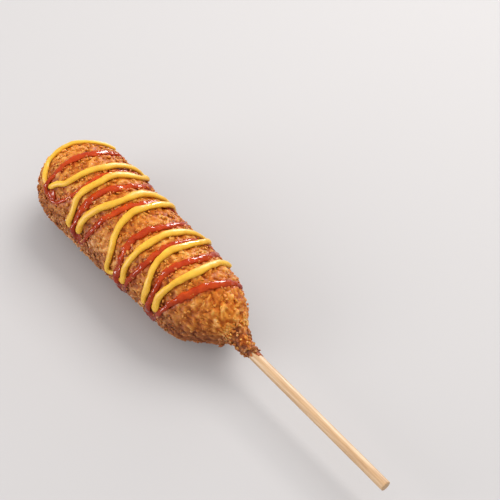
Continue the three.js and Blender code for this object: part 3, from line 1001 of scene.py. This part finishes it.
def give(socket, value):
    """Gives a socket a plain value, or links it to another node's output."""
    if isinstance(value, bpy.types.NodeSocket):
        socket.id_data.links.new(value, socket)
    else:
        socket.default_value = value


def add_node(tree, kind, inputs, **settings):
    """A new node, its settings made first and then its inputs given."""
    node = tree.nodes.new(kind)
    for key, value in settings.items():
        setattr(node, key, value)
    for key, value in inputs.items():
        give(node.inputs[key], value)
    return node


class Look:
    """A material, and a short way to wire it."""

    def __init__(self, name):
        self.material = bpy.data.materials.new(name)
        self.material.use_nodes = True
        self.shader = self.material.node_tree.nodes["Principled BSDF"]
        self.place = self.add("ShaderNodeTexCoord", {}).outputs["Object"]

    def add(self, kind, inputs, **settings):
        return add_node(self.material.node_tree, kind, inputs, **settings)

    def set(self, name, value):
        give(self.shader.inputs[name], value)

    def noise(self, per_mm, detail=2.0, roughness=0.5, stretch=None):
        place = self.place
        if stretch:
            inputs = {"Vector": place, "Scale": stretch}
            place = self.add("ShaderNodeMapping", inputs).outputs["Vector"]
        inputs = {"Vector": place, "Scale": per_mm / MM, "Detail": detail, "Roughness": roughness}
        return self.add("ShaderNodeTexNoise", inputs).outputs["Fac"]

    def attribute(self, name):
        return self.add("ShaderNodeAttribute", {}, attribute_name=name).outputs["Fac"]

    def spread(self, value, to_low, to_high, low=0.3, high=0.7):
        inputs = {"Value": value, "From Min": low, "From Max": high}
        inputs |= {"To Min": to_low, "To Max": to_high}
        return self.add("ShaderNodeMapRange", inputs, clamp=True).outputs["Result"]

    def math(self, operation, a, b):
        return self.add("ShaderNodeMath", {0: a, 1: b}, operation=operation).outputs[0]

    def ramp(self, value, *stops):
        node = self.add("ShaderNodeValToRGB", {"Fac": value})
        elements = node.color_ramp.elements
        while len(elements) < len(stops):
            elements.new(0.5)
        for element, (position, colour) in zip(elements, stops):
            element.position = position
            element.color = srgb(*colour)
        return node.outputs["Color"]

    def mix(self, factor, a, b):
        inputs = {"Factor": factor, "A": a, "B": b}
        return self.add("ShaderNodeMix", inputs, data_type="RGBA").outputs["Result"]

    def subsurface(self, weight, radius, scale_mm):
        self.set("Subsurface Weight", weight)
        self.set("Subsurface Radius", radius)
        self.set("Subsurface Scale", scale_mm * MM)

    def bump(self, height, strength, depth_mm):
        inputs = {"Height": height, "Strength": strength, "Distance": depth_mm * MM}
        self.set("Normal", self.add("ShaderNodeBump", inputs).outputs["Normal"])


def fried_crust_material():
    look = Look("fried_crust")
    tone = look.attribute("tone")
    stain = look.attribute("stain")
    patches = look.noise(0.06, 3)
    speckle = look.noise(0.7, 3, 0.6)
    shade = look.math("ADD", tone, look.spread(speckle, -0.1, 0.1))
    shade = look.math("ADD", shade, look.spread(patches, -0.14, 0.14, 0.35, 0.65))
    # Raised flakes and crumbs are painted lighter and the low ground darker: painted highlight and
    # shade.
    shade = look.math("ADD", shade, look.spread(look.attribute("lift"), -0.2, 0.16, -0.6, 0.6))
    golden = look.ramp(
        shade,
        (0.0, (162, 76, 14)),
        (0.3, (192, 106, 28)),
        (0.55, (211, 134, 46)),
        (0.8, (226, 162, 80)),
        (1.0, (238, 188, 118)),
    )
    stained = look.mix(look.math("MULTIPLY", stain, 0.7), golden, srgb(184, 66, 20))
    # The dark ramp: charred crust round the collar, and painted shade towards the underside.
    char_and_shade_colour = look.ramp(shade, (0.1, (90, 44, 24)), (0.6, (150, 90, 54)), (0.9, (208, 152, 112)))
    char_and_shade = look.math("MULTIPLY", look.attribute("char_and_shade"), 0.8)
    look.set("Base Color", look.mix(char_and_shade, stained, char_and_shade_colour))
    dry = look.spread(speckle, 0.5, 0.7)
    look.set("Roughness", look.math("ADD", dry, look.math("MULTIPLY", stain, -0.2)))
    look.set("Specular IOR Level", 0.2)
    look.subsurface(0.45, (1.0, 0.4, 0.12), 1.8)
    look.bump(look.noise(2.0, 3, 0.6), 0.3, 0.12)
    return look.material


def ketchup_material():
    look = Look("ketchup")
    lit = look.ramp(look.noise(0.16, 2), (0.3, (163, 45, 8)), (0.7, (200, 72, 14)))
    # Low on the sides the ketchup is darker red: partly thicker ketchup, partly painted shade.
    look.set("Base Color", look.mix(look.attribute("depth_and_shade"), lit, srgb(126, 38, 18)))
    look.set("Roughness", look.spread(look.noise(0.5), 0.08, 0.2))
    look.set("IOR", 1.4)
    look.set("Specular IOR Level", 0.28)
    look.subsurface(0.15, (1.0, 0.25, 0.08), 1.2)
    look.bump(look.noise(0.7, 2), 0.35, 0.25)
    return look.material


def mustard_material():
    look = Look("mustard")
    colour = look.ramp(look.noise(0.2, 3), (0.3, (220, 162, 36)), (0.7, (232, 184, 58)))
    look.set("Base Color", colour)
    dull = look.spread(look.noise(0.6), 0.42, 0.5)
    wet = look.math("MULTIPLY", look.attribute("wet"), -0.32)
    look.set("Roughness", look.math("ADD", dull, wet))
    look.set("IOR", 1.42)
    look.set("Specular IOR Level", 0.5)
    look.subsurface(0.15, (1.0, 0.7, 0.15), 1.0)
    look.bump(look.noise(1.6, 3), 0.14, 0.12)
    return look.material


def wood_material():
    look = Look("pale_wood")
    fibres = look.noise(1.6, 4, 0.6, stretch=(0.035, 1, 1))
    bands = look.noise(0.5, 2, 0.5, stretch=(0.04, 1, 1))
    shade = look.math("ADD", look.math("MULTIPLY", fibres, 0.6), look.math("MULTIPLY", bands, 0.4))
    stops = (0.32, (172, 130, 90)), (0.5, (200, 162, 120)), (0.68, (218, 188, 150))
    look.set("Base Color", look.ramp(shade, *stops))
    look.set("Roughness", look.spread(fibres, 0.62, 0.48))
    look.bump(fibres, 0.35, 0.12)
    return look.material


# ---- The corn dog ----

crust_look = fried_crust_material()
rng = np.random.default_rng(20417)
crust_body, crust_relief = build_crust_body(rng)
put_on(crust_body, crust_look, "fried_crumb", "crust")

for name, kind, spacing, from_u in CRUMBS:
    places = scatter(spacing, 0.5, rng, from_u)
    put_on(crumb_cloud(name, kind, places, rng), crust_look, "fried_crumb")
places = along_ketchup(WET_SPACING, rng)
wet_crumbs = crumb_cloud("crumbs_in_ketchup", WET, places, rng, in_ketchup=True)
put_on(wet_crumbs, crust_look, "fried_crumb")

ketchup = sauce_mesh("ketchup", KETCHUP, over_mustard, crust_relief, KETCHUP_POOLS)
remesh(ketchup, voxel=0.32)
mark(ketchup, "depth_and_shade", ketchup_depth_and_shade)
put_on(ketchup, ketchup_material(), "ketchup", "crust")
mustard = sauce_mesh("mustard", MUSTARD, over_ketchup, crust_relief)
remesh(mustard, voxel=0.34)
mark(mustard, "wet", mustard_wetness)
put_on(mustard, mustard_material(), "mustard", "crust")

put_on(build_stick(), wood_material(), "pale_wood", "stick")

# ---- Floor, light and camera, in metres ----

BODY_MIDDLE = Vector((0.03, 0, 0.02))


def floor():
    """A wide square of paper, just below the part so that they don't share a plane."""
    reach = 3
    drop = 0.0002
    mesh = bpy.data.meshes.new("floor")
    square = (-1, -1), (1, -1), (1, 1), (-1, 1)
    corners = [(x * reach, y * reach, -drop) for x, y in square]
    mesh.from_pydata(corners, [], [(0, 1, 2, 3)])
    paper = Look("floor_paper")
    paper.set("Base Color", srgb(190, 187, 187))
    paper.set("Roughness", 0.9)
    mesh.materials.append(paper.material)
    made = new_object("floor", mesh)


def aim(made, target, way, distance):
    """Sets a light or the camera at a distance from its target, facing it."""
    made.location = target + way * distance
    made.rotation_euler = way.to_track_quat("Z", "Y").to_euler()


def soft_light(name, direction, distance, size, power, colour=(1, 1, 1), only_glints=False):
    """A rectangular light aimed at the body, which either lights it or only glints on it."""
    light = bpy.data.lights.new(name, "AREA")
    light.shape = "RECTANGLE"
    light.size, light.size_y = size
    light.energy = power
    light.color = colour
    made = new_object(name, light)
    aim(made, BODY_MIDDLE, Vector(direction).normalized(), distance)
    made.visible_camera = False
    made.visible_glossy = only_glints
    made.visible_diffuse = not only_glints


def sky():
    """A soft white dome, brighter overhead than at the horizon."""
    world = bpy.data.worlds.new("world")
    world.use_nodes = True
    tree = world.node_tree
    place = add_node(tree, "ShaderNodeTexCoord", {}).outputs["Generated"]
    split = add_node(tree, "ShaderNodeSeparateXYZ", {"Vector": place})
    ends = {"From Min": -0.1, "From Max": 1.0, "To Min": 0.4, "To Max": 0.95}
    height = add_node(tree, "ShaderNodeMapRange", {"Value": split.outputs["Z"], **ends})
    background = tree.nodes["Background"]
    give(background.inputs["Strength"], height.outputs["Result"])
    give(background.inputs["Color"], (1, 1, 1, 1))
    bpy.context.scene.world = world


def camera():
    azimuth = math.radians(49.16)
    elevation = math.radians(54)
    target = Vector((0.0293, 0.0508, 0))
    level = math.cos(elevation)
    back = Vector((math.sin(azimuth) * level, -math.cos(azimuth) * level, math.sin(elevation)))
    lens = bpy.data.cameras.new("camera")
    lens.sensor_width = 36
    lens.lens = 107.4
    lens.clip_end = 20
    made = new_object("camera", lens)
    aim(made, target, back, distance=0.8)
    bpy.context.scene.camera = made


floor()
soft_light("key", (-0.05, 0.6, 0.85), 1.0, (0.7, 0.6), 7.2, (1, 0.985, 0.96))
soft_light("fill", (-0.5, -0.9, 0.5), 1.1, (0.7, 0.5), 4.6, (1, 0.99, 0.98))
soft_light("glint", (-0.44, 0.84, 0.32), 1.1, (0.5, 0.46), 22, only_glints=True)
soft_light("side_glint", (-0.44, -0.86, 0.27), 1.0, (0.3, 0.48), 10, only_glints=True)
sky()
bpy.context.scene.view_settings.view_transform = "Standard"
camera()
